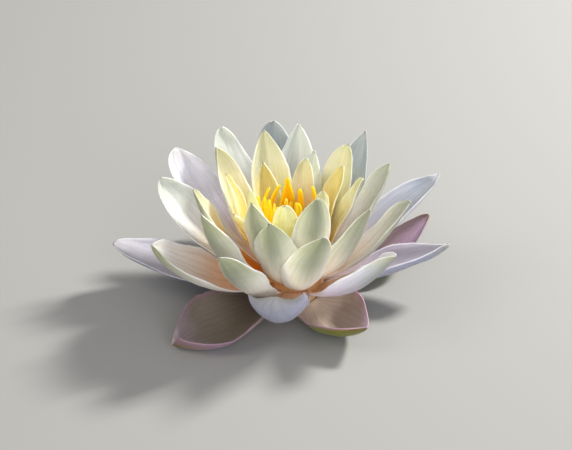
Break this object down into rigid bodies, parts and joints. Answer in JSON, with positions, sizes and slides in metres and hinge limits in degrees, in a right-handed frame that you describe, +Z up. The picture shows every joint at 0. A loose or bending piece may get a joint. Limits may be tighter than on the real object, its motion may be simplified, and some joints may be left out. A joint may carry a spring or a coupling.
{
  "type": "water lily flower",
  "caption": "Open white water lily bloom as picked, with pointed cupped petals, broad sepals and golden stamens, standing on a short cut stalk.",
  "frame": {"origin": "under the middle of the bloom's outline seen from above, at the cut end of the stalk it stands on", "axes": "+Z up through the bloom, -Y towards the viewer of the picture, +X to the viewer's right"},
  "size_m": [0.1266, 0.0996, 0.0579],
  "materials": {
    "petal_outer": "satin, fleshy, white with a lavender tint",
    "petal_middle": "satin, fleshy, cream white",
    "petal_inner": "satin, fleshy, pale butter yellow",
    "sepal": "satin, grey pink inside and olive green outside",
    "receptacle": "matt, peach cream",
    "stalk": "matt, olive brown with a pale cut end",
    "stamen_broad": "satin, golden orange",
    "stamen_slim": "satin, golden yellow",
    "stigma": "matt, deep yellow"
  },
  "bodies": {
    "root": {"stalk": "stalk", "receptacle": "receptacle", "sepal_front_left": "sepal", "sepal_front_right": "sepal", "sepal_back_right": "sepal", "sepal_back_left": "sepal", "petal_1_1": "petal_outer", "petal_1_2": "petal_outer", "petal_1_3": "petal_outer", "petal_1_4": "petal_outer", "petal_2_1": "petal_outer", "petal_2_2": "petal_outer", "petal_2_3": "petal_outer", "petal_2_4": "petal_outer", "petal_2_5": "petal_outer", "petal_3_1": "petal_middle", "petal_3_2": "petal_middle", "petal_3_3": "petal_middle", "petal_3_4": "petal_middle", "petal_4_1": "petal_middle", "petal_4_2": "petal_middle", "petal_4_3": "petal_middle", "petal_4_4": "petal_middle", "petal_4_5": "petal_middle", "petal_4_6": "petal_middle", "petal_5_1": "petal_middle", "petal_5_2": "petal_middle", "petal_5_3": "petal_middle", "petal_5_4": "petal_middle", "petal_5_5": "petal_middle", "petal_5_6": "petal_middle", "petal_6_1": "petal_inner", "petal_6_2": "petal_inner", "petal_6_3": "petal_inner", "petal_6_4": "petal_inner", "petal_6_5": "petal_inner", "petal_7_1": "petal_inner", "petal_7_2": "petal_inner", "petal_7_3": "petal_inner", "petal_7_4": "petal_inner", "petal_7_5": "petal_inner", "petal_7_6": "petal_inner", "petal_8_1": "petal_inner", "petal_8_2": "petal_inner", "petal_8_3": "petal_inner", "petal_8_4": "petal_inner", "stamens_broad": "stamen_broad", "stamens_slim": "stamen_slim", "stigma": "stigma"}
  },
  "joints": []
}
